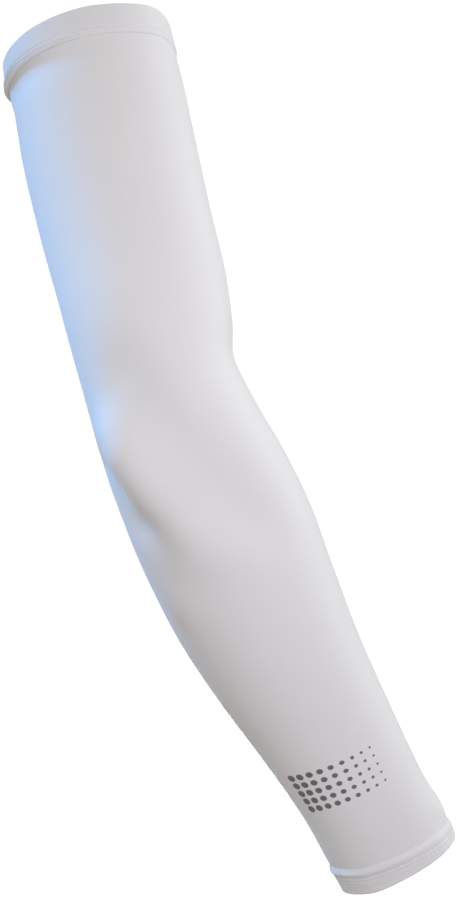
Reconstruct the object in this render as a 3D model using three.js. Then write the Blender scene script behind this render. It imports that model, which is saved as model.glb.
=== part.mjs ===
// Arm compression sleeve: a knitted tube worn on a slightly bent right arm, open at both ends,
// with a folded elastic hem at the biceps and another at the wrist. Millimetres, +Z up.
// The origin is the centre of the biceps opening, and the wrist opening lies nearly below it. +X is the
// side of the elbow's crook, and -Y is the outer back of the arm.

import * as THREE from "three";

// Axis of the arm: two straight stretches joined by an arc at the elbow. Each runs down with a lean
// towards +X and a tilt towards +Y, in degrees
const UPPER_ARM = { length: 180, lean: -7.9, tilt: -15.5 };
const FOREARM = { length: 265, lean: 5.05, tilt: 7.6 };
const ELBOW_TANGENT = 45;

// Fabric and hems. A hem's band is widest at one angle; on its side it stands off by its flare and its
// rim is drawn in along the arm by its dip, and at its corner the rim is pulled out by its rise
const FABRIC = 1.0;
const LAYER_GAP = 0.4;
const FOLD_ROUND = 0.45;
const BICEPS_HEM = {
  height: 14.4, slant: 2.0, widest: 40, side: 165, flare: 0.5, dip: 2.8, corner: 26, rise: 2.2,
};
const WRIST_HEM = {
  height: 12.3, slant: 2.8, widest: 165, side: 0, flare: 0.3, dip: 0.5, corner: 120, rise: 0.9,
};
const CORNER_SHARPNESS = 60;

// Mesh fineness
const STATIONS = 46;
const AROUND = 42;

// Half-widths of the tube's outer face, from the axis to each side, at places along the axis
const SECTIONS = [
  { at: 0, left: 41.8, right: 42.0, front: 37.5, back: 38.0 },
  { at: 15, left: 42.4, right: 42.2, front: 37.7, back: 38.2 },
  { at: 30, left: 42.5, right: 42.5, front: 38.0, back: 38.5 },
  { at: 60, left: 43.4, right: 41.9, front: 38.5, back: 39.2 },
  { at: 100, left: 42.1, right: 41.1, front: 37.8, back: 38.8 },
  { at: 135, left: 39.9, right: 41.0, front: 36.8, back: 38.0 },
  { at: 160, left: 39.3, right: 38.3, front: 36.6, back: 35.5 },
  { at: 182, left: 40.3, right: 33.8, front: 37.4, back: 32.6 },
  { at: 205, left: 43.0, right: 35.0, front: 37.6, back: 34.0 },
  { at: 232, left: 45.9, right: 37.4, front: 37.0, back: 36.2 },
  { at: 262, left: 47.9, right: 37.6, front: 36.8, back: 36.6 },
  { at: 295, left: 47.6, right: 34.4, front: 35.4, back: 34.6 },
  { at: 330, left: 43.4, right: 31.3, front: 32.6, back: 31.0 },
  { at: 365, left: 37.3, right: 30.2, front: 28.8, back: 26.4 },
  { at: 400, left: 32.3, right: 29.7, front: 25.2, back: 23.0 },
  { at: 425, left: 31.1, right: 29.9, front: 22.6, back: 22.0 },
  { at: 441, left: 30.4, right: 29.9, front: 20.8, back: 22.2 },
];

// Dents and swellings: straight strokes over the tube, given by two places along the axis, two angles
// round it (0 at +X, 90 at the front, 180 at the left) and the depth at both ends, less than 0 for a swelling
const STROKES = [
  { name: "groove, upper part", at: [204, 234], angle: [163, 141], reach: 6.2, depth: [3.3, 0.8] },
  { name: "groove, lower part", at: [234, 250], angle: [143, 118], reach: 8.5, depth: [1.0, 0.3] },
  { name: "strip below the groove", at: [242, 276], angle: [158, 144], reach: 10.0, depth: [-1.0, -1.2] },
  { name: "lip of the groove", at: [194, 240], angle: [143, 122], reach: 10.5, depth: [-3.3, -1.5] },
  { name: "ridge above the groove", at: [204, 239], angle: [133, 110], reach: 13.5, depth: [-4.2, -2.0] },
  { name: "hollow across the elbow", at: [178, 253], angle: [111, 77], reach: 14.0, depth: [2.9, 3.0] },
  { name: "outer side of the elbow", at: [254, 261], angle: [112, 90], reach: 12.0, depth: [-1.7, -1.2] },
  { name: "crook of the elbow", at: [176, 186], angle: [10, -50], reach: 9.0, depth: [0.8, 0.8] },
  { name: "swelling under the biceps hem", at: [16, 16], angle: [200, 160], reach: 9.0, depth: [-0.9, -0.6] },
  { name: "hollow under the biceps hem", at: [22, 24], angle: [160, 100], reach: 7.5, depth: [1.8, 1.1] },
  { name: "swelling above the wrist hem", at: [424, 427], angle: [-12, 12], reach: 10.0, depth: [-1.7, -1.7] },
];

const radians = THREE.MathUtils.degToRad;

function direction({ lean, tilt }) {
  return new THREE.Vector3(
    Math.sin(radians(lean)) * Math.cos(radians(tilt)),
    Math.sin(radians(tilt)),
    -Math.cos(radians(lean)) * Math.cos(radians(tilt))
  );
}

const upperDirection = direction(UPPER_ARM);
const foreDirection = direction(FOREARM);
const flexion = upperDirection.angleTo(foreDirection);
const elbowRadius = ELBOW_TANGENT / Math.tan(flexion / 2);
const arcStart = UPPER_ARM.length - ELBOW_TANGENT;
const arcLength = elbowRadius * flexion;
const AXIS_LENGTH = arcStart + arcLength + FOREARM.length - ELBOW_TANGENT;
const inwardDirection = foreDirection.clone()
  .addScaledVector(upperDirection, -foreDirection.dot(upperDirection))
  .normalize();
const elbowCentre = upperDirection.clone().multiplyScalar(arcStart).addScaledVector(inwardDirection, elbowRadius);

// A point of the axis and the directions along it, to the right side and to the front
function axisAt(along) {
  const turn = THREE.MathUtils.clamp((along - arcStart) / elbowRadius, 0, flexion);
  const tangent = upperDirection.clone().multiplyScalar(Math.cos(turn))
    .addScaledVector(inwardDirection, Math.sin(turn));
  const point = elbowCentre.clone()
    .addScaledVector(inwardDirection, -elbowRadius * Math.cos(turn))
    .addScaledVector(upperDirection, elbowRadius * Math.sin(turn));
  point.addScaledVector(tangent, along - arcStart - elbowRadius * turn);
  const side = new THREE.Vector3(0, 1, 0).cross(tangent).normalize();
  if (side.x < 0) side.negate();
  const front = side.clone().cross(tangent).normalize();
  if (front.y > 0) front.negate();
  return { point, tangent, side, front };
}

// Smooth value of one column of the section table
function sectionValue(column, along) {
  const last = SECTIONS.length - 1;
  const place = THREE.MathUtils.clamp(along, SECTIONS[0].at, SECTIONS[last].at);
  let row = 0;
  while (row < last - 1 && SECTIONS[row + 1].at < place) row += 1;
  const slope = (k) => {
    const low = SECTIONS[Math.max(k - 1, 0)];
    const high = SECTIONS[Math.min(k + 1, last)];
    return (high[column] - low[column]) / (high.at - low.at);
  };
  const start = SECTIONS[row];
  const end = SECTIONS[row + 1];
  const span = end.at - start.at;
  const t = (place - start.at) / span;
  return start[column] * (1 + 2 * t) * (1 - t) ** 2 + end[column] * t * t * (3 - 2 * t)
    + span * (slope(row) * t * (1 - t) ** 2 - slope(row + 1) * t * t * (1 - t));
}

// Depth of all dents at one place, as a sum of soft-edged strokes
function dentDepth(along, angle) {
  const meanRadius = 40;
  let depth = 0;
  for (const stroke of STROKES) {
    const turn = THREE.MathUtils.euclideanModulo(angle - stroke.angle[0] + 180, 360) - 180;
    const across = radians(turn) * meanRadius;
    const strokeAlong = stroke.at[1] - stroke.at[0];
    const strokeAcross = radians(stroke.angle[1] - stroke.angle[0]) * meanRadius;
    const dot = (along - stroke.at[0]) * strokeAlong + across * strokeAcross;
    const t = THREE.MathUtils.clamp(dot / (strokeAlong ** 2 + strokeAcross ** 2), 0, 1);
    const away = Math.hypot(along - stroke.at[0] - t * strokeAlong, across - t * strokeAcross);
    const strength = THREE.MathUtils.lerp(stroke.depth[0], stroke.depth[1], t);
    depth += strength * Math.exp(-((away / stroke.reach) ** 2));
  }
  return depth;
}

// A point at a place along and round the arm, a given height above the tube's outer face
function surfacePoint(along, angle, height) {
  const { point, side, front } = axisAt(along);
  const cosine = Math.cos(radians(angle));
  const sine = Math.sin(radians(angle));
  const halfSide = sectionValue(cosine > 0 ? "right" : "left", along);
  const halfFront = sectionValue(sine > 0 ? "front" : "back", along);
  const normal = new THREE.Vector2(cosine / halfSide, sine / halfFront).normalize();
  const raised = height - dentDepth(along, angle);
  return point
    .addScaledVector(side, halfSide * cosine + normal.x * raised)
    .addScaledVector(front, halfFront * sine + normal.y * raised);
}

// A closed ring swept round the arm: profileAt gives its closed loop of [along, height] pairs at an angle
function ringGeometry(profileAt) {
  const positions = [];
  const count = profileAt(0).length;
  for (let turn = 0; turn < AROUND; turn += 1) {
    const angle = (360 * turn) / AROUND;
    for (const [along, height] of profileAt(angle)) positions.push(...surfacePoint(along, angle, height));
  }
  const triangles = [];
  for (let turn = 0; turn < AROUND; turn += 1) {
    const next = (turn + 1) % AROUND;
    for (let k = 0; k < count; k += 1) {
      const beyond = (k + 1) % count;
      const [a, b] = [turn * count + k, turn * count + beyond];
      const [c, d] = [next * count + k, next * count + beyond];
      triangles.push(a, c, b, b, c, d);
    }
  }
  const geometry = new THREE.BufferGeometry();
  geometry.setAttribute("position", new THREE.Float32BufferAttribute(positions, 3));
  geometry.setIndex(triangles);
  geometry.computeVertexNormals();
  return geometry;
}

// How strongly a hem's own side acts at an angle: 1 there, fading to 0 on the far side
function sidePull(hem, angle) {
  return Math.cos(radians(angle - hem.side) / 2) ** 4;
}

// How far a hem's rim lies inside its end of the arm at an angle, less than 0 where it is pulled out
function rimDepth(hem, angle) {
  const cornerPull = Math.cos(radians(angle - hem.corner) / 2) ** CORNER_SHARPNESS;
  return hem.dip * sidePull(hem, angle) - hem.rise * cornerPull;
}

function bicepsRim(angle) {
  return rimDepth(BICEPS_HEM, angle);
}

function wristRim(angle) {
  return AXIS_LENGTH - rimDepth(WRIST_HEM, angle);
}

// The tube's loop runs down its outer face and back up its inner face, just short of both rims
function tubeProfile(angle) {
  const first = bicepsRim(angle) + FABRIC + LAYER_GAP;
  const last = wristRim(angle) - FABRIC - LAYER_GAP;
  const places = Array.from({ length: STATIONS + 1 }, (_, k) => first + ((last - first) * k) / STATIONS);
  return [
    ...places.map((along) => [along, 0]),
    ...places.toReversed().map((along) => [along, -FABRIC]),
  ];
}

// A hem folds over the tube's end: an outer layer, a rounded rim and a lip that caps the tube's edge.
// Its loop holds pairs of [depth from the rim, height]
function hemProfile(hem, angle) {
  const outer = LAYER_GAP + FABRIC + hem.flare * sidePull(hem, angle);
  const height = hem.height + hem.slant * Math.cos(radians(angle - hem.widest));
  return [
    [0, outer - FOLD_ROUND],
    [FOLD_ROUND, outer],
    [height / 2, outer],
    [height - FOLD_ROUND, outer],
    [height, outer - FOLD_ROUND],
    [height, LAYER_GAP],
    [height / 2, LAYER_GAP],
    [FABRIC, LAYER_GAP],
    [FABRIC, -FABRIC],
    [FOLD_ROUND, -FABRIC],
    [0, FOLD_ROUND - FABRIC],
  ];
}

function bicepsHem(angle) {
  return hemProfile(BICEPS_HEM, angle).map(([depth, height]) => [bicepsRim(angle) + depth, height]);
}

// The wrist's rim is the arm's far end, so its loop is mirrored and turned round
function wristHem(angle) {
  return hemProfile(WRIST_HEM, angle).map(([depth, height]) => [wristRim(angle) - depth, height]).toReversed();
}

function piece(name, geometry, color) {
  const material = new THREE.MeshStandardMaterial({ color, roughness: 0.85, metalness: 0 });
  const mesh = new THREE.Mesh(geometry, material);
  mesh.name = name;
  return mesh;
}

const sleeve = new THREE.Group();
sleeve.add(
  piece("sleeve_tube", ringGeometry(tubeProfile), 0xdcdce2),
  piece("biceps_hem", ringGeometry(bicepsHem), 0xd6d8e2),
  piece("wrist_hem", ringGeometry(wristHem), 0xcfd0d8)
);

export default sleeve;
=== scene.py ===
"""An arm compression sleeve in its worn, slightly bent form: fine white knit with two stitched hems."""

import math
from collections import namedtuple

import bpy
import numpy as np
from mathutils import Matrix


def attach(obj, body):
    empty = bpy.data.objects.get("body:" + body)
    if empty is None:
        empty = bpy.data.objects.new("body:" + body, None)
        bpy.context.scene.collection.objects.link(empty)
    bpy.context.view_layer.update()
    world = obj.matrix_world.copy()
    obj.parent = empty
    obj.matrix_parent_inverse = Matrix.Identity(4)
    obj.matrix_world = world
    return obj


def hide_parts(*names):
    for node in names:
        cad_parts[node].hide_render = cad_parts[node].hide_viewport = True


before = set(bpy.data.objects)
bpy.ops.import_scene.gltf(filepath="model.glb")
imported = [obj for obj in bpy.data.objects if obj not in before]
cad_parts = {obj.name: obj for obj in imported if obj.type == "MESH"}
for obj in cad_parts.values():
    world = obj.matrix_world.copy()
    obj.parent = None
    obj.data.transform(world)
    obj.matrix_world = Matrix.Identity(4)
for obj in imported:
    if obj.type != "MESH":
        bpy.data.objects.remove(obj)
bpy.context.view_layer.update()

# Sizes are in millimetres and angles in degrees up to the camera, and surface() turns sizes into metres
MM = 0.001

# Axis of the sleeve: two straight stretches joined by an arc at the elbow
UPPER_LENGTH, UPPER_LEAN, UPPER_TILT = 180.0, -7.9, -15.5
LOWER_LENGTH, LOWER_LEAN, LOWER_TILT = 265.0, 5.05, 7.6
ELBOW_TANGENT = 45.0

# Half-widths of the outer face, from the axis to each side, at places along the axis
Section = namedtuple("Section", "at left right front back")
SECTIONS = [
    Section(0, 41.8, 42.0, 37.5, 38.0),
    Section(15, 42.4, 42.2, 37.7, 38.2),
    Section(30, 42.5, 42.5, 38.0, 38.5),
    Section(60, 43.4, 41.9, 38.5, 39.2),
    Section(100, 42.1, 41.1, 37.8, 38.8),
    Section(135, 39.9, 41.0, 36.8, 38.0),
    Section(160, 39.3, 38.3, 36.6, 35.5),
    Section(182, 40.3, 33.8, 37.4, 32.6),
    Section(205, 43.0, 35.0, 37.6, 34.0),
    Section(232, 45.9, 37.4, 37.0, 36.2),
    Section(262, 47.9, 37.6, 36.8, 36.6),
    Section(295, 47.6, 34.4, 35.4, 34.6),
    Section(330, 43.4, 31.3, 32.6, 31.0),
    Section(365, 37.3, 30.2, 28.8, 26.4),
    Section(400, 32.3, 29.7, 25.2, 23.0),
    Section(425, 31.1, 29.9, 22.6, 22.0),
    Section(441, 30.4, 29.9, 20.8, 22.2),
]

# Dents and swellings: strokes between two places along the axis and two angles round it, which are
# 0 at +X, 90 at the front and 180 at the left; depths at both ends are inward, so a swelling has less than 0
Stroke = namedtuple("Stroke", "name at angle reach depth")
STROKES = [
    Stroke("groove, upper part", (204, 234), (163, 141), 6.2, (3.3, 0.8)),
    Stroke("groove, lower part", (234, 250), (143, 118), 8.5, (1.0, 0.3)),
    Stroke("strip below the groove", (242, 276), (158, 144), 10.0, (-1.0, -1.2)),
    Stroke("lip of the groove", (194, 240), (143, 122), 10.5, (-3.3, -1.5)),
    Stroke("ridge above the groove", (204, 239), (133, 110), 13.5, (-4.2, -2.0)),
    Stroke("hollow across the elbow", (178, 253), (111, 77), 14.0, (2.9, 3.0)),
    Stroke("outer side of the elbow", (254, 261), (112, 90), 12.0, (-1.7, -1.2)),
    Stroke("crook of the elbow", (176, 186), (10, -50), 9.0, (0.8, 0.8)),
    Stroke("swelling under the biceps hem", (16, 16), (200, 160), 9.0, (-0.9, -0.6)),
    Stroke("hollow under the biceps hem", (22, 24), (160, 100), 7.5, (1.8, 1.1)),
    Stroke("swelling above the wrist hem", (424, 427), (-12, 12), 10.0, (-1.7, -1.7)),
]
STROKE_RADIUS = 40.0

# Fabric and hems. A hem's band is widest at one angle; on its side it stands off by its flare and its rim is
# drawn in by its dip, and at its corner the rim is pulled out by its rise
FABRIC = 1.0
LAYER_GAP = 0.4
Hem = namedtuple("Hem", "girth height slant widest side flare dip corner rise")
BICEPS_HEM = Hem(girth=265, height=14.4, slant=2.0, widest=40,
                 side=165, flare=0.5, dip=2.8, corner=26, rise=2.2)
WRIST_HEM = Hem(girth=172, height=12.3, slant=2.8, widest=165,
                side=0, flare=0.3, dip=0.5, corner=120, rise=0.9)
SIDE_SHARPNESS = 4
CORNER_SHARPNESS = 60

# Rows of stitches press grooves into a hem's band, and ridges swell beside them, each steeper on one side;
# both are placed by their depth from the band's inner edge
Row = namedtuple("Row", "hem depth press")
STITCH_ROWS = [
    Row(BICEPS_HEM, 3.9, 0.50),
    Row(BICEPS_HEM, 1.9, 0.20),
    Row(WRIST_HEM, 7.2, 0.14),
    Row(WRIST_HEM, 5.4, 0.14),
]
Ridge = namedtuple("Ridge", "hem depth to_rim to_edge lift")
RIDGES = [
    Ridge(BICEPS_HEM, 2.5, 0.95, 0.40, 0.70),
    Ridge(BICEPS_HEM, 0.5, 0.95, 0.30, 0.90),
    Ridge(WRIST_HEM, 6.2, 0.50, 0.60, 0.10),
    Ridge(WRIST_HEM, 3.2, 1.00, 2.00, 0.55),
]

# Outer face of a band, as heights above the tube. Its rows and ridges are strongest at the left, and at the
# right they keep a share of that. Slow waves run round it, and fade out near its inner edge
LEFT_SIDE = 170.0
BAND_HEIGHT, SIDE_HEIGHT = 0.80, 0.10
GROOVE_WIDTH = 0.36
PUCKER = 0.06
PRESS_SHARE, LIFT_SHARE = 0.45, 0.15
Wave = namedtuple("Wave", "height turns phase")
WAVES = [Wave(0.07, 9, 0.4), Wave(0.05, 17, 1.9)]
WAVE_FADE = 2.0

# The band's inner edge is rounded off over a width, down to a height; at the left of the biceps hem it is
# higher and narrower
EDGE_HEIGHT, EDGE_RISE = -0.02, 0.90
EDGE_WIDTH, EDGE_NARROWING = 3.4, 2.9

# The rest of a band's loop: its rounded rim, its edge, and its inner face, which runs back to the tube's end
# and turns in over it. The turn has depths from the rim, and heights above the tube's inner face
RIM_RADIUS = 0.9
EDGE_THICKNESS = 0.1
INNER_HEIGHT = -0.06
RIM_TURN = [(FABRIC, 0.0), (0.5, 0.0), (0.12, 0.4)]

# Stitches: threads that come up out of the fabric and go back in, thinner at their ends
STITCH_LENGTH = 2.4
STITCH_FILL = 0.84
THREAD_RADIUS = 0.13
THREAD_RISE, THREAD_DIVE = 0.01, 0.25
THREAD_TIP = 0.02

# Mesh fineness
STATIONS, AROUND = 250, 144
HEM_AROUND, RIM_STEPS, BAND_STEPS = 540, 6, 56
THREAD_SIDES, THREAD_RINGS = 6, 7

# The UV map place holds angles round and places along the sleeve, both divided by this
PLACE_UNIT = 100

# The knit: wales run along the sleeve and courses round it. Streaks follow the wales, and clouds are broad
WALES = 300
COURSE = 0.62
LOOP_SLANT, LOOP_RELIEF, LOOP_BASE = 1.1, 0.8, 0.6
STREAK_SCALE, STREAK_SQUEEZE = 0.55, 0.06
CLOUD_SQUEEZE = 0.02
# Painted shade: the knit's colour is darkened towards a grey in the gaps between its loops, where its height
# is low
PAINTED_GAP_SHADE_REACH, PAINTED_GAP_SHADE_STRENGTH, PAINTED_GAP_SHADE_COLOUR = 1.4, 0.10, (0.42, 0.42, 0.45, 1)
Fabric = namedtuple("Fabric", "name light shade printed")
TUBE_FABRIC = Fabric("white_knit", (0.80, 0.80, 0.81, 1), (0.76, 0.76, 0.78, 1), True)
HEM_FABRIC = Fabric("hem_knit", (0.79, 0.79, 0.81, 1), (0.75, 0.75, 0.77, 1), False)
KNIT_ROUGHNESS, ROUGHNESS_RANGE = 0.56, 0.12
KNIT_SPECULAR = 0.30
KNIT_SHEEN, KNIT_SHEEN_ROUGHNESS = 0.18, 0.45

# Bumps: a distance in metres, and a strength
Bump = namedtuple("Bump", "distance strength")
CLOUD_BUMP = Bump(0.0012, 0.35)
KNIT_BUMP = Bump(0.00012, 0.5)
THREAD_BUMP = Bump(0.00008, 0.6)

# The thread
THREAD_COLOURS = [(0.73, 0.73, 0.75, 1), (0.81, 0.81, 0.83, 1)]
FIBRE_SCALE, FIBRE_DETAIL = 2600.0, 3.0
THREAD_ROUGHNESS, THREAD_SHEEN = 0.42, 0.2

# The printed patch: rows of dots that shrink to one side. Dots' radii are shares of their pitch
PRINT_ALONG, PRINT_ANGLE, PRINT_RADIUS = 384.0, 104.0, 28.0
DOT_COLUMNS, DOT_ROWS, DOT_PITCH = 9, 5, 4.6
DOT_LARGEST, DOT_SMALLEST = 0.44, 0.16
DOT_EDGE = 14.0
INK, INK_STRENGTH = (0.055, 0.055, 0.060, 1), 0.86

# Camera, in metres and degrees. Its own axes are the picture's: right, away and up
CAMERA_PLACE = (-0.0062, -0.7520, -0.2135)
ROLL = 21.0
LENS, SENSOR = 60.0, 36.0

# Soft square lights, in metres, degrees and watts. Azimuth is 0 from the camera's side and 90 from the
# picture's right; a light is aimed at a height above the middle of the sleeve, and its spread is how wide
# its beam fans out
MIDDLE = np.array([-0.010, -0.030, -0.215])
Light = namedtuple("Light", "name azimuth elevation distance size aim spread watts colour")
LIGHTS = [
    Light("key_front", 10, 7, 0.85, 0.6, -0.04, 180, 4.65, (0.95, 0.93, 0.97)),
    Light("rim_right", 114, 26, 2.5, 1.6, 0, 180, 37.0, (0.96, 0.98, 1.0)),
    Light("window_left", -104, 38, 1.2, 0.2, -0.03, 23, 0.39, (0.15, 0.45, 0.90)),
    Light("warm_back", -140, -35, 1.2, 0.8, 0, 180, 2.4, (1.0, 0.72, 0.35)),
]

# Floor and surroundings: white to the camera, and dim for the light that falls on the sleeve
FLOOR_DROP, FLOOR_REACH = 1.1, 12.0
FLOOR_COLOUR, FLOOR_ROUGHNESS = (0.4, 0.4, 0.4, 1), 0.9
WHITE = (1, 1, 1, 1)
BACKDROP = (1.05, 1.05, 1.05, 1)
AMBIENT = (0.405, 0.385, 0.365, 1)


# Form of the sleeve

def direction(lean, tilt):
    lean, tilt = math.radians(lean), math.radians(tilt)
    return np.array([math.sin(lean) * math.cos(tilt), math.sin(tilt), -math.cos(lean) * math.cos(tilt)])


upper_direction = direction(UPPER_LEAN, UPPER_TILT)
lower_direction = direction(LOWER_LEAN, LOWER_TILT)
flexion = math.acos(upper_direction @ lower_direction)
elbow_radius = ELBOW_TANGENT / math.tan(flexion / 2)
arc_start = UPPER_LENGTH - ELBOW_TANGENT
axis_length = arc_start + elbow_radius * flexion + LOWER_LENGTH - ELBOW_TANGENT
inward = lower_direction - upper_direction * (upper_direction @ lower_direction)
inward /= np.linalg.norm(inward)
elbow_centre = upper_direction * arc_start + inward * elbow_radius


def unit(v):
    return v / np.linalg.norm(v, axis=-1, keepdims=True)


def axis_at(along):
    """Points of the axis, and the directions to the right side and to the front there."""
    turn = np.clip((along - arc_start) / elbow_radius, 0, flexion)[..., None]
    tangent = upper_direction * np.cos(turn) + inward * np.sin(turn)
    outward = upper_direction * np.sin(turn) - inward * np.cos(turn)
    point = elbow_centre + elbow_radius * outward
    point = point + tangent * (along[..., None] - arc_start - elbow_radius * turn)
    side = unit(np.cross(tangent, [0.0, 1.0, 0.0]))
    side = side * np.sign(side[..., :1])
    front = unit(np.cross(side, tangent))
    front = front * -np.sign(front[..., 1:2])
    return point, side, front


def section_value(column, along):
    """Smooth value of one column of the section table."""
    at = np.array([s.at for s in SECTIONS], float)
    value = np.array([getattr(s, column) for s in SECTIONS], float)
    slope = np.gradient(value, at)
    slope[1:-1] = (value[2:] - value[:-2]) / (at[2:] - at[:-2])
    place = np.clip(along, at[0], at[-1])
    row = np.clip(np.searchsorted(at, place, side="right") - 1, 0, len(at) - 2)
    span = at[row + 1] - at[row]
    t = (place - at[row]) / span
    return (value[row] * (1 + 2 * t) * (1 - t) ** 2 + value[row + 1] * t * t * (3 - 2 * t)
            + span * (slope[row] * t * (1 - t) ** 2 - slope[row + 1] * t * t * (1 - t)))


def dent_depth(along, angle):
    depth = np.zeros(np.broadcast(along, angle).shape)
    for stroke in STROKES:
        turn = (angle - stroke.angle[0] + 180) % 360 - 180
        across = np.radians(turn) * STROKE_RADIUS
        run = stroke.at[1] - stroke.at[0]
        rise = math.radians(stroke.angle[1] - stroke.angle[0]) * STROKE_RADIUS
        t = np.clip(((along - stroke.at[0]) * run + across * rise) / (run ** 2 + rise ** 2), 0, 1)
        away = np.hypot(along - stroke.at[0] - t * run, across - t * rise)
        strength = stroke.depth[0] + (stroke.depth[1] - stroke.depth[0]) * t
        depth = depth + strength * np.exp(-((away / stroke.reach) ** 2))
    return depth


def surface(along, angle, height):
    """Points in metres at places along and angles round the sleeve, a height above its outer face."""
    along, angle, height = np.broadcast_arrays(*(np.asarray(v, float) for v in (along, angle, height)))
    point, side, front = axis_at(along)
    cosine, sine = np.cos(np.radians(angle)), np.sin(np.radians(angle))
    half_side = np.where(cosine > 0, section_value("right", along), section_value("left", along))
    half_front = np.where(sine > 0, section_value("front", along), section_value("back", along))
    normal = unit(np.stack([cosine / half_side, sine / half_front], axis=-1))
    raised = (height - dent_depth(along, angle))[..., None]
    flat = np.stack([half_side * cosine, half_front * sine], axis=-1) + normal * raised
    return (point + side * flat[..., :1] + front * flat[..., 1:]) * MM


# Meshes

def new_object(name, points, faces, uvs=()):
    """A smooth mesh object; each of uvs is a (name, one coordinate pair for each corner)."""
    mesh = bpy.data.meshes.new(name)
    mesh.from_pydata(points.tolist(), [], faces)
    for uv_name, corners in uvs:
        layer = mesh.uv_layers.new(name=uv_name)
        layer.data.foreach_set("uv", np.ascontiguousarray(corners, dtype=np.float32).ravel())
    mesh.polygons.foreach_set("use_smooth", [True] * len(mesh.polygons))
    mesh.update()
    obj = bpy.data.objects.new(name, mesh)
    bpy.context.scene.collection.objects.link(obj)
    return obj


def ring(name, along, height):
    """A closed loop of (along, height) swept round the sleeve. Both arrays have a row for each angle.

    The UV map knit counts wales round the sleeve and millimetres along the loop, and the UV map place
    holds the angle and the place along the sleeve.
    """
    around, count = along.shape
    angle = np.arange(around)[:, None] * 360.0 / around + np.zeros((1, count))
    points = surface(along, angle, height).reshape(-1, 3)
    turn, step = np.meshgrid(np.arange(around), np.arange(count), indexing="ij")
    next_turn, next_step = (turn + 1) % around, (step + 1) % count
    faces = np.stack([turn * count + step, next_turn * count + step,
                      next_turn * count + next_step, turn * count + next_step], axis=-1).reshape(-1, 4)
    along = np.concatenate([along, along[:, :1]], axis=1)
    height = np.concatenate([height, height[:, :1]], axis=1)
    walked = np.cumsum(np.hypot(np.diff(along, axis=1), np.diff(height, axis=1)), axis=1)
    walked = np.concatenate([np.zeros((around, 1)), walked], axis=1)
    corners = [(turn, step), (turn + 1, step), (turn + 1, step + 1), (turn, step + 1)]
    knit = np.stack([np.stack([t * WALES / around, walked[t % around, s]], axis=-1)
                     for t, s in corners], axis=2).reshape(-1, 2)
    place = np.stack([np.stack([t * 360.0 / around, along[t % around, s]], axis=-1) / PLACE_UNIT
                      for t, s in corners], axis=2).reshape(-1, 2)
    return new_object(name, points, faces.tolist(), [("knit", knit), ("place", place)])


def pull(angle, side, sharpness=SIDE_SHARPNESS):
    """How strongly a side acts at an angle: 1 there, fading to 0 on the far side."""
    return np.cos(np.radians(angle - side) / 2) ** sharpness


def hem_place(hem, angle, depth):
    """The place along the sleeve of a depth measured from a hem's rim."""
    drawn_in = hem.dip * pull(angle, hem.side) - hem.rise * pull(angle, hem.corner, CORNER_SHARPNESS)
    inner = drawn_in + depth
    return inner if hem is BICEPS_HEM else axis_length - inner


def band_width(hem, angle):
    return hem.height + hem.slant * np.cos(np.radians(angle - hem.widest))


def stitch_count(hem):
    return round(hem.girth / STITCH_LENGTH)


def faded(share, strength):
    """A strength that falls to a share where it would have been 0."""
    return share + (1 - share) * strength


def hem_height(hem, angle, depth):
    """Height of a hem's outer face: smooth from the rim, then its grooves, its ridges and a soft edge."""
    from_edge = band_width(hem, angle) - depth
    left_pull = pull(angle, LEFT_SIDE)
    pucker = PUCKER * (0.5 + 0.5 * np.cos(np.radians(angle) * stitch_count(hem)))
    height = BAND_HEIGHT + (SIDE_HEIGHT + hem.flare) * pull(angle, hem.side) + np.zeros_like(from_edge)
    for row in [row for row in STITCH_ROWS if row.hem is hem]:
        press = row.press * faded(PRESS_SHARE, left_pull) + pucker
        height = height - press * np.exp(-(((from_edge - row.depth) / GROOVE_WIDTH) ** 2))
    for ridge in [ridge for ridge in RIDGES if ridge.hem is hem]:
        lift = ridge.lift * faded(LIFT_SHARE, left_pull)
        width = np.where(from_edge > ridge.depth, ridge.to_rim, ridge.to_edge)
        height = height + lift * np.exp(-(((from_edge - ridge.depth) / width) ** 2))
    edge_pull = left_pull * (hem is BICEPS_HEM)
    edge_height = EDGE_HEIGHT + EDGE_RISE * edge_pull
    edge_width = EDGE_WIDTH - EDGE_NARROWING * edge_pull
    height = height - (height - edge_height) * np.clip(1 - from_edge / edge_width, 0, 1) ** 2
    wave = sum(w.height * np.sin(np.radians(angle) * w.turns + w.phase) for w in WAVES)
    return height + wave * np.clip(from_edge / WAVE_FADE, 0, 1)


def knit_tube():
    """The tube: its loop runs down the outer face and back up the inner one, inside both hems' rims."""
    angle = np.arange(AROUND)[:, None] * 360.0 / AROUND
    first = hem_place(BICEPS_HEM, angle, FABRIC + LAYER_GAP)
    last = hem_place(WRIST_HEM, angle, FABRIC + LAYER_GAP)
    share = np.linspace(0, 1, STATIONS + 1)[None, :]
    places = first + (last - first) * share
    along = np.concatenate([places, places[:, ::-1]], axis=1)
    height = np.concatenate([np.zeros_like(places), np.full_like(places, -FABRIC)], axis=1)
    return ring("knit_tube", along, height)


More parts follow.
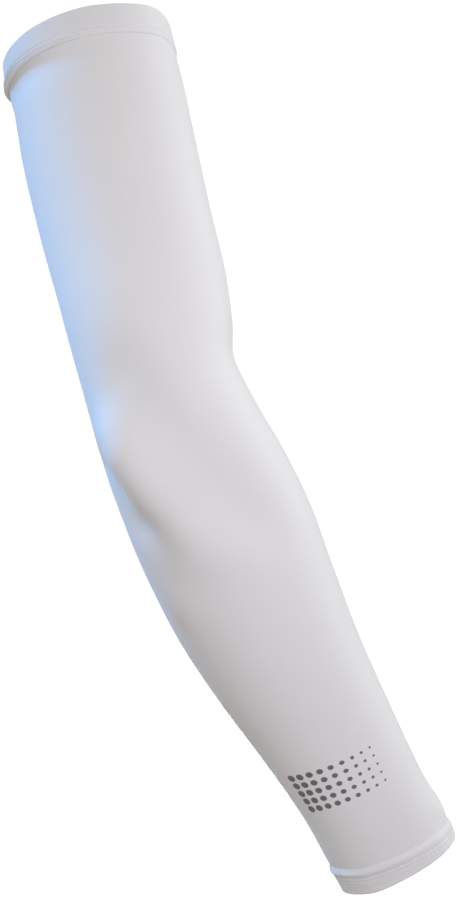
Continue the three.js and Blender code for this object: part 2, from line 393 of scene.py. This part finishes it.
def hem_fold(name, hem):
    """The folded band: its loop runs over the rim, down the outer face and back along the inner one."""
    angle = np.arange(HEM_AROUND)[:, None] * 360.0 / HEM_AROUND
    width = band_width(hem, angle)
    rim = np.radians(np.linspace(0, 90, RIM_STEPS))[None, :]
    rim_depth = RIM_RADIUS * (1 - np.cos(rim)) + np.zeros_like(angle)
    share = np.linspace(0, 1, BAND_STEPS + 1)[None, 1:]
    depth_out = np.concatenate([rim_depth, RIM_RADIUS + (width - RIM_RADIUS) * share], axis=1)
    drop = np.concatenate([RIM_RADIUS * (1 - np.sin(rim)), np.zeros((1, BAND_STEPS))], axis=1)
    height_out = hem_height(hem, angle, depth_out) - drop
    back = [(width - EDGE_THICKNESS, INNER_HEIGHT), (width / 2, INNER_HEIGHT), (FABRIC, INNER_HEIGHT)]
    back += [(depth, height - FABRIC) for depth, height in RIM_TURN]
    depth_back = [np.broadcast_to(depth, angle.shape) for depth, _ in back]
    height_back = [np.full_like(angle, height) for _, height in back]
    along = hem_place(hem, angle, np.concatenate([depth_out, *depth_back], axis=1))
    height = np.concatenate([height_out, *height_back], axis=1)
    if hem is WRIST_HEM:
        along, height = along[:, ::-1], height[:, ::-1]
    return ring(name, along, height)


def thread_faces(count, base):
    """Faces of a row of threads, whose points are numbered from base: their sides, then both ends of each."""
    s, r, k = np.meshgrid(np.arange(count), np.arange(THREAD_RINGS - 1), np.arange(THREAD_SIDES),
                          indexing="ij")
    around = base + (s * THREAD_RINGS + r) * THREAD_SIDES
    a, b = around + k, around + (k + 1) % THREAD_SIDES
    faces = np.stack([a, b, b + THREAD_SIDES, a + THREAD_SIDES], axis=-1).reshape(-1, 4).tolist()
    for s in range(count):
        start = base + s * THREAD_RINGS * THREAD_SIDES
        end = start + (THREAD_RINGS - 1) * THREAD_SIDES
        faces.append([start + k for k in reversed(range(THREAD_SIDES))])
        faces.append([end + k for k in range(THREAD_SIDES)])
    return faces


def stitch_rows(name, hem):
    """A hem's rows of straight stitches, each of them a thread of its own."""
    count = stitch_count(hem)
    t = np.linspace(-1, 1, THREAD_RINGS)[None, :]
    angle = (np.arange(count)[:, None] + 0.5 + 0.5 * STITCH_FILL * t) * 360.0 / count
    lift = THREAD_RISE - THREAD_DIVE * t ** 4
    radius = THREAD_RADIUS * np.sqrt(np.clip(1 + THREAD_TIP - t ** 6, THREAD_TIP, 1))[..., None]
    around = np.arange(THREAD_SIDES) * 2 * np.pi / THREAD_SIDES
    rows = [row for row in STITCH_ROWS if row.hem is hem]
    points, faces = [], []
    for index, row in enumerate(rows):
        row_depth = band_width(hem, angle) - row.depth
        height = (hem_height(hem, angle, row_depth) + lift)[..., None] + radius * np.sin(around)
        depth = row_depth[..., None] + radius * np.cos(around)
        turn = angle[..., None] + np.zeros(THREAD_SIDES)
        points.append(surface(hem_place(hem, turn, depth), turn, height).reshape(-1, 3))
        faces += thread_faces(count, index * count * THREAD_RINGS * THREAD_SIDES)
    return new_object(name, np.concatenate(points), faces)


# Materials

class Nodes:
    """Short forms for building a material's nodes."""

    def __init__(self, name):
        self.material = bpy.data.materials.new(name)
        self.material.use_nodes = True
        self.tree = self.material.node_tree
        self.shader = self.tree.nodes["Principled BSDF"]

    def put(self, socket, value):
        if isinstance(value, bpy.types.NodeSocket):
            self.tree.links.new(value, socket)
        else:
            socket.default_value = value

    def math(self, operation, a, b=0.0, c=0.0):
        node = self.tree.nodes.new("ShaderNodeMath")
        node.operation = operation
        for socket, value in zip(node.inputs, (a, b, c)):
            self.put(socket, value)
        return node.outputs[0]

    def uv(self, name):
        node = self.tree.nodes.new("ShaderNodeUVMap")
        node.uv_map = name
        split = self.tree.nodes.new("ShaderNodeSeparateXYZ")
        self.tree.links.new(node.outputs[0], split.inputs[0])
        return split.outputs[0], split.outputs[1]

    def noise(self, vector, scale, detail=2.0, roughness=0.5):
        node = self.tree.nodes.new("ShaderNodeTexNoise")
        self.put(node.inputs["Vector"], vector)
        node.inputs["Scale"].default_value = scale
        node.inputs["Detail"].default_value = detail
        node.inputs["Roughness"].default_value = roughness
        return node.outputs["Fac"]

    def vector(self, x, y):
        node = self.tree.nodes.new("ShaderNodeCombineXYZ")
        for socket, value in zip(node.inputs, (x, y)):
            self.put(socket, value)
        return node.outputs[0]

    def mix(self, factor, a, b):
        node = self.tree.nodes.new("ShaderNodeMix")
        node.data_type = "RGBA"
        for socket, value in zip(("Factor", "A", "B"), (factor, a, b)):
            self.put(node.inputs[socket], value)
        return node.outputs["Result"]

    def bump(self, height, bump, normal=None):
        node = self.tree.nodes.new("ShaderNodeBump")
        self.put(node.inputs["Height"], height)
        node.inputs["Distance"].default_value = bump.distance
        node.inputs["Strength"].default_value = bump.strength
        if normal is not None:
            self.put(node.inputs["Normal"], normal)
        return node.outputs[0]


def knit_height(nodes, across, walked):
    """Height of a plain knit's face, 0 to 1: columns of small Vs, counted by the UV map knit."""
    leg = nodes.math("ABSOLUTE", nodes.math("SUBTRACT", nodes.math("FRACT", across), 0.5))
    slant = nodes.math("MULTIPLY_ADD", leg, LOOP_SLANT, nodes.math("DIVIDE", walked, COURSE))
    loop = nodes.math("PINGPONG", slant, 0.5)
    ridge = nodes.math("PINGPONG", nodes.math("MULTIPLY", leg, 2.0), 0.5)
    return nodes.math("MULTIPLY", nodes.math("MULTIPLY_ADD", loop, LOOP_RELIEF, LOOP_BASE), ridge)


def knit_material(fabric):
    nodes = Nodes(fabric.name)
    across, walked = nodes.uv("knit")
    height = knit_height(nodes, across, walked)
    streak_place = nodes.vector(across, nodes.math("MULTIPLY", walked, STREAK_SQUEEZE))
    streak = nodes.noise(streak_place, STREAK_SCALE, detail=3.0, roughness=0.6)
    cloud_place = nodes.vector(nodes.math("MULTIPLY", across, CLOUD_SQUEEZE),
                               nodes.math("MULTIPLY", walked, CLOUD_SQUEEZE))
    cloud = nodes.noise(cloud_place, 1.0)
    tone = nodes.math("MULTIPLY_ADD", streak, 0.5, nodes.math("MULTIPLY", cloud, 0.5))
    colour = nodes.mix(tone, fabric.light, fabric.shade)
    # Painted shade: a grey mixed in where the knit's loops are low, in the gaps between them
    painted_gap_shade_mask = nodes.math("SUBTRACT", 1.0, nodes.math("MULTIPLY", height, PAINTED_GAP_SHADE_REACH))
    colour = nodes.mix(nodes.math("MULTIPLY", painted_gap_shade_mask, PAINTED_GAP_SHADE_STRENGTH), colour, PAINTED_GAP_SHADE_COLOUR)
    if fabric.printed:
        colour = nodes.mix(dot_print(nodes), colour, INK)
    nodes.put(nodes.shader.inputs["Base Color"], colour)
    roughness = nodes.math("MULTIPLY_ADD", tone, ROUGHNESS_RANGE, KNIT_ROUGHNESS)
    nodes.put(nodes.shader.inputs["Roughness"], roughness)
    nodes.shader.inputs["Specular IOR Level"].default_value = KNIT_SPECULAR
    nodes.shader.inputs["Sheen Weight"].default_value = KNIT_SHEEN
    nodes.shader.inputs["Sheen Roughness"].default_value = KNIT_SHEEN_ROUGHNESS
    soft = nodes.bump(cloud, CLOUD_BUMP)
    nodes.put(nodes.shader.inputs["Normal"], nodes.bump(height, KNIT_BUMP, soft))
    return nodes.material


def dot_print(nodes):
    """How much ink lies at a point: a dot in each cell of a grid, smaller from column to column."""
    angle, along = nodes.uv("place")
    turned = nodes.math("SUBTRACT", angle, PRINT_ANGLE / PLACE_UNIT)
    x = nodes.math("MULTIPLY", turned, -math.radians(PLACE_UNIT) * PRINT_RADIUS)
    y = nodes.math("MULTIPLY", nodes.math("SUBTRACT", along, PRINT_ALONG / PLACE_UNIT), PLACE_UNIT)
    column = nodes.math("MULTIPLY_ADD", x, 1 / DOT_PITCH, DOT_COLUMNS / 2)
    row = nodes.math("MULTIPLY_ADD", y, 1 / DOT_PITCH, DOT_ROWS / 2)
    cell_x = nodes.math("SUBTRACT", nodes.math("FRACT", column), 0.5)
    cell_y = nodes.math("SUBTRACT", nodes.math("FRACT", row), 0.5)
    square = nodes.math("MULTIPLY_ADD", cell_x, cell_x, nodes.math("MULTIPLY", cell_y, cell_y))
    share = nodes.math("DIVIDE", nodes.math("FLOOR", column), DOT_COLUMNS - 1)
    radius = nodes.math("MULTIPLY_ADD", share, DOT_SMALLEST - DOT_LARGEST, DOT_LARGEST)
    from_rim = nodes.math("SUBTRACT", radius, nodes.math("SQRT", square))
    edge = nodes.math("MULTIPLY", from_rim, DOT_EDGE)
    mask = nodes.math("MINIMUM", nodes.math("MAXIMUM", edge, 0.0), 1.0)
    inside = nodes.math("MULTIPLY",
                        nodes.math("COMPARE", column, DOT_COLUMNS / 2, DOT_COLUMNS / 2),
                        nodes.math("COMPARE", row, DOT_ROWS / 2, DOT_ROWS / 2))
    return nodes.math("MULTIPLY", mask, nodes.math("MULTIPLY", inside, INK_STRENGTH))


def thread_material():
    nodes = Nodes("stitch_thread")
    position = nodes.tree.nodes.new("ShaderNodeNewGeometry").outputs["Position"]
    fibre = nodes.noise(position, FIBRE_SCALE, FIBRE_DETAIL)
    nodes.put(nodes.shader.inputs["Base Color"], nodes.mix(fibre, *THREAD_COLOURS))
    nodes.shader.inputs["Roughness"].default_value = THREAD_ROUGHNESS
    nodes.shader.inputs["Sheen Weight"].default_value = THREAD_SHEEN
    nodes.put(nodes.shader.inputs["Normal"], nodes.bump(fibre, THREAD_BUMP))
    return nodes.material


# Camera, light and floor

roll = math.radians(ROLL)


def from_picture(right, away, up):
    """A direction or offset given along the picture's own axes, in the frame's axes."""
    x = right * math.cos(roll) + up * math.sin(roll)
    z = up * math.cos(roll) - right * math.sin(roll)
    return np.array([x, away, z])


def add_camera():
    data = bpy.data.cameras.new("camera")
    data.lens = LENS
    data.sensor_width = SENSOR
    camera = bpy.data.objects.new("camera", data)
    camera.location = CAMERA_PLACE
    camera.rotation_euler = (math.radians(90), roll, 0)
    bpy.context.scene.collection.objects.link(camera)
    bpy.context.scene.camera = camera


def add_light(light):
    data = bpy.data.lights.new(light.name, "AREA")
    data.size = light.size
    data.spread = math.radians(light.spread)
    data.energy = light.watts
    data.color = light.colour
    lamp = bpy.data.objects.new(light.name, data)
    azimuth, elevation = math.radians(light.azimuth), math.radians(light.elevation)
    back = from_picture(math.sin(azimuth) * math.cos(elevation),
                        -math.cos(azimuth) * math.cos(elevation), math.sin(elevation))
    right = unit(np.cross([0.0, 0.0, 1.0], back))
    up = np.cross(back, right)
    place = MIDDLE + from_picture(0, 0, light.aim) + back * light.distance
    rows = [[right[k], up[k], back[k], place[k]] for k in range(3)]
    lamp.matrix_world = Matrix([*rows, [0, 0, 0, 1]])
    lamp.visible_camera = False
    bpy.context.scene.collection.objects.link(lamp)


def seen_directly(tree):
    """1 for what the camera sees directly, and 0 for light that falls on the sleeve."""
    return tree.nodes.new("ShaderNodeLightPath").outputs["Is Camera Ray"]


def add_floor():
    mesh = bpy.data.meshes.new("floor")
    turns = [(-1, -1), (1, -1), (1, 1), (-1, 1)]
    corners = [(x * FLOOR_REACH, y * FLOOR_REACH, -FLOOR_DROP) for x, y in turns]
    mesh.from_pydata(corners, [], [(0, 1, 2, 3)])
    floor = bpy.data.objects.new("floor", mesh)
    bpy.context.scene.collection.objects.link(floor)
    nodes = Nodes("pale_floor")
    nodes.shader.inputs["Base Color"].default_value = FLOOR_COLOUR
    nodes.shader.inputs["Roughness"].default_value = FLOOR_ROUGHNESS
    nodes.shader.inputs["Emission Color"].default_value = WHITE
    nodes.put(nodes.shader.inputs["Emission Strength"], seen_directly(nodes.tree))
    mesh.materials.append(nodes.material)


def add_world():
    """White to the camera, and a dim warm light from all sides for the sleeve."""
    world = bpy.data.worlds.new("studio")
    bpy.context.scene.world = world
    world.use_nodes = True
    tree = world.node_tree
    mix = tree.nodes.new("ShaderNodeMix")
    mix.data_type = "RGBA"
    tree.links.new(seen_directly(tree), mix.inputs["Factor"])
    mix.inputs["A"].default_value = AMBIENT
    mix.inputs["B"].default_value = BACKDROP
    tree.links.new(mix.outputs["Result"], tree.nodes["Background"].inputs["Color"])


def build():
    tube = knit_tube()
    biceps = hem_fold("biceps_hem_fold", BICEPS_HEM)
    wrist = hem_fold("wrist_hem_fold", WRIST_HEM)
    biceps_stitches = stitch_rows("biceps_stitches", BICEPS_HEM)
    wrist_stitches = stitch_rows("wrist_stitches", WRIST_HEM)

    tube.data.materials.append(knit_material(TUBE_FABRIC))
    hem_fabric = knit_material(HEM_FABRIC)
    thread = thread_material()
    for piece in (biceps, wrist):
        piece.data.materials.append(hem_fabric)
    for piece in (biceps_stitches, wrist_stitches):
        piece.data.materials.append(thread)

    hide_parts("sleeve_tube")
    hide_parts("biceps_hem")
    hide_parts("wrist_hem")
    for piece in (tube, biceps, wrist, biceps_stitches, wrist_stitches):
        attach(piece, "root")


bpy.context.scene.view_settings.view_transform = "Standard"
add_camera()
build()
add_floor()
add_world()
for light in LIGHTS:
    add_light(light)
